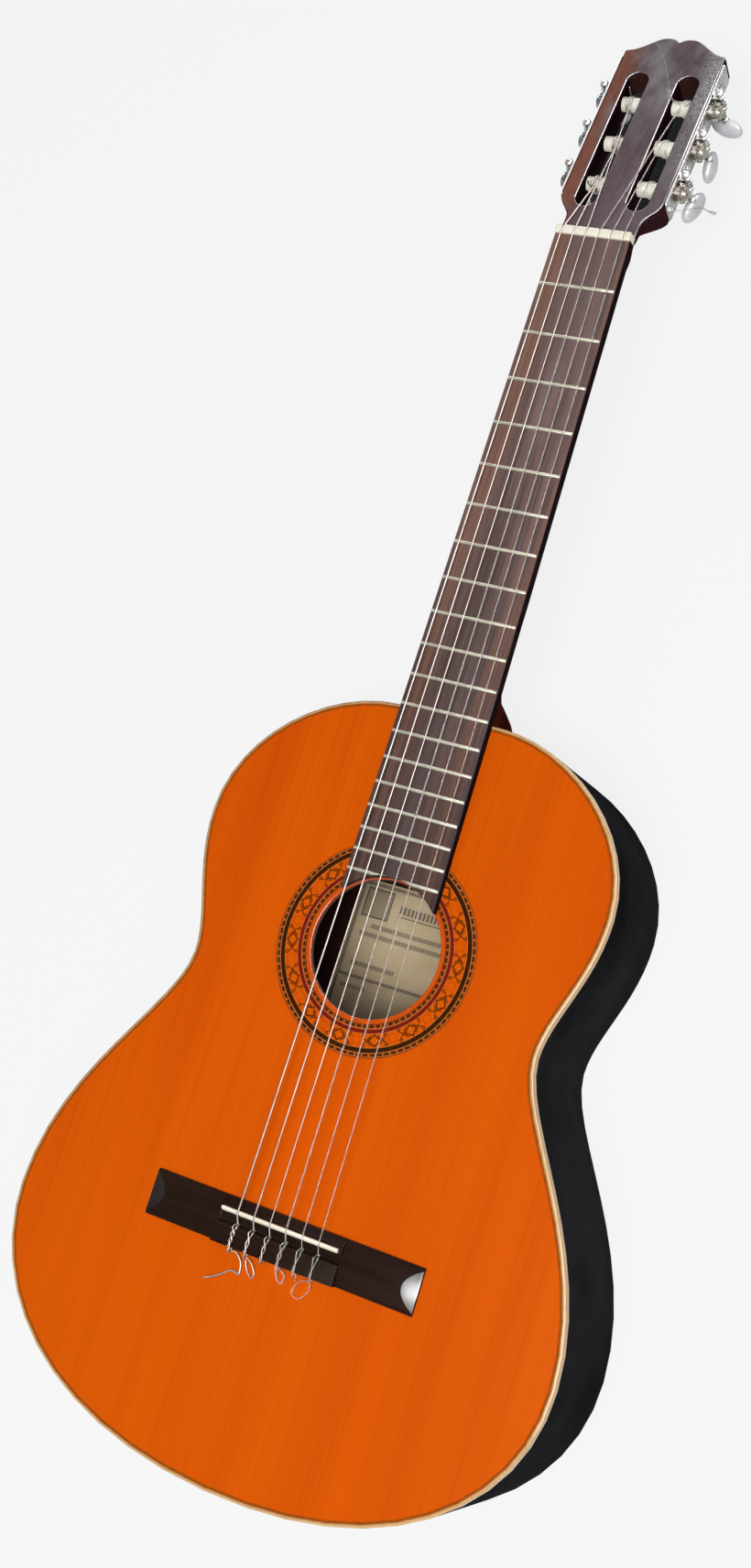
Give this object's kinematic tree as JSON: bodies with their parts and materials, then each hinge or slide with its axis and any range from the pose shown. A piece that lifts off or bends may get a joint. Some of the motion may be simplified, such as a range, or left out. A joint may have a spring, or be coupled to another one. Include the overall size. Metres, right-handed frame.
{
  "type": "classical guitar",
  "caption": "Nylon-string guitar with a hollow waisted wooden body, round soundhole, slotted head, geared tuning machines and a tie bridge.",
  "frame": {"origin": "on the outside face of the back, under the centre of the soundhole", "axes": "+X to the treble side, +Y along the neck to the head, +Z out of the soundboard"},
  "size_m": [0.37, 0.9752, 0.1154],
  "materials": {
    "top_wood": "gloss lacquer over straight grain",
    "rosewood": "gloss lacquer, near black",
    "binding": "gloss lacquer",
    "purfling": "fine dark and red lines",
    "inner_wood": "raw sanded wood",
    "rosette": "inlaid rings and a repeating diamond and curl pattern under lacquer",
    "paper": "matte paper",
    "mahogany": "gloss lacquer",
    "head_veneer": "high gloss",
    "fingerboard": "oiled",
    "nickel": "polished nickel",
    "ivory": "satin",
    "pearl": "pearl gloss",
    "nylon": "clear nylon",
    "wound": "silvered winding"
  },
  "bodies": {
    "guitar": {"soundboard": "top_wood", "back": "rosewood", "side_bass": "rosewood", "side_treble": "rosewood", "top_binding": "binding", "top_purfling": "purfling", "back_binding": "rosewood", "top_lining": "inner_wood", "back_lining": "inner_wood", "neck_block": "inner_wood", "tail_block": "inner_wood", "fan_braces": "inner_wood", "harmonic_bars": "inner_wood", "soundhole_patch": "inner_wood", "back_braces": "inner_wood", "back_strip": "inner_wood", "rosette": "rosette", "label": "paper", "neck": "mahogany", "heel_cap": "rosewood", "headstock": "mahogany", "head_veneer": "head_veneer", "fingerboard": "fingerboard", "frets": "nickel", "nut": "ivory", "bridge": "fingerboard", "saddle": "ivory", "tuner_plate_bass": "nickel", "tuner_plate_treble": "nickel", "plate_screws": "nickel", "string_1": "nylon", "string_2": "nylon", "string_3": "nylon", "string_4": "wound", "string_5": "wound", "string_6": "wound"},
    "key_1": {"worm_1": "nickel", "button_1": "pearl"},
    "spool_1": {"roller_1": "ivory", "gear_1": "nickel"},
    "key_2": {"worm_2": "nickel", "button_2": "pearl"},
    "spool_2": {"roller_2": "ivory", "gear_2": "nickel"},
    "key_3": {"worm_3": "nickel", "button_3": "pearl"},
    "spool_3": {"roller_3": "ivory", "gear_3": "nickel"},
    "key_4": {"worm_4": "nickel", "button_4": "pearl"},
    "spool_4": {"roller_4": "ivory", "gear_4": "nickel"},
    "key_5": {"worm_5": "nickel", "button_5": "pearl"},
    "spool_5": {"roller_5": "ivory", "gear_5": "nickel"},
    "key_6": {"worm_6": "nickel", "button_6": "pearl"},
    "spool_6": {"roller_6": "ivory", "gear_6": "nickel"}
  },
  "joints": [
    {"name": "key_1_turn", "type": "hinge", "parent": "guitar", "child": "key_1", "pos_m": [0.0412, 0.53356, 0.08553], "axis": [0, 0.2113, 0.9774], "continuous": true},
    {"name": "key_2_turn", "type": "hinge", "parent": "guitar", "child": "key_2", "pos_m": [0.0412, 0.56777, 0.07813], "axis": [0, 0.2113, 0.9774], "continuous": true},
    {"name": "key_3_turn", "type": "hinge", "parent": "guitar", "child": "key_3", "pos_m": [0.0412, 0.60198, 0.07074], "axis": [0, 0.2113, 0.9774], "continuous": true},
    {"name": "key_4_turn", "type": "hinge", "parent": "guitar", "child": "key_4", "pos_m": [-0.0412, 0.60198, 0.07074], "axis": [0, 0.2113, 0.9774], "continuous": true},
    {"name": "key_5_turn", "type": "hinge", "parent": "guitar", "child": "key_5", "pos_m": [-0.0412, 0.56777, 0.07813], "axis": [0, 0.2113, 0.9774], "continuous": true},
    {"name": "key_6_turn", "type": "hinge", "parent": "guitar", "child": "key_6", "pos_m": [-0.0412, 0.53356, 0.08553], "axis": [0, 0.2113, 0.9774], "continuous": true},
    {"name": "spool_1_turn", "type": "hinge", "parent": "guitar", "child": "spool_1", "pos_m": [0.018, 0.52476, 0.08743], "axis": [1, 0, 0], "continuous": true},
    {"name": "spool_2_turn", "type": "hinge", "parent": "guitar", "child": "spool_2", "pos_m": [0.018, 0.55897, 0.08003], "axis": [1, 0, 0], "continuous": true},
    {"name": "spool_3_turn", "type": "hinge", "parent": "guitar", "child": "spool_3", "pos_m": [0.018, 0.59318, 0.07264], "axis": [1, 0, 0], "continuous": true},
    {"name": "spool_4_turn", "type": "hinge", "parent": "guitar", "child": "spool_4", "pos_m": [-0.018, 0.59318, 0.07264], "axis": [1, 0, 0], "continuous": true},
    {"name": "spool_5_turn", "type": "hinge", "parent": "guitar", "child": "spool_5", "pos_m": [-0.018, 0.55897, 0.08003], "axis": [1, 0, 0], "continuous": true},
    {"name": "spool_6_turn", "type": "hinge", "parent": "guitar", "child": "spool_6", "pos_m": [-0.018, 0.52476, 0.08743], "axis": [1, 0, 0], "continuous": true}
  ],
  "couplings": [
    {"joint": "spool_1_turn", "follows": "key_1_turn", "ratio": -0.071429},
    {"joint": "spool_2_turn", "follows": "key_2_turn", "ratio": -0.071429},
    {"joint": "spool_3_turn", "follows": "key_3_turn", "ratio": -0.071429},
    {"joint": "spool_4_turn", "follows": "key_4_turn", "ratio": -0.071429},
    {"joint": "spool_5_turn", "follows": "key_5_turn", "ratio": -0.071429},
    {"joint": "spool_6_turn", "follows": "key_6_turn", "ratio": -0.071429}
  ]
}
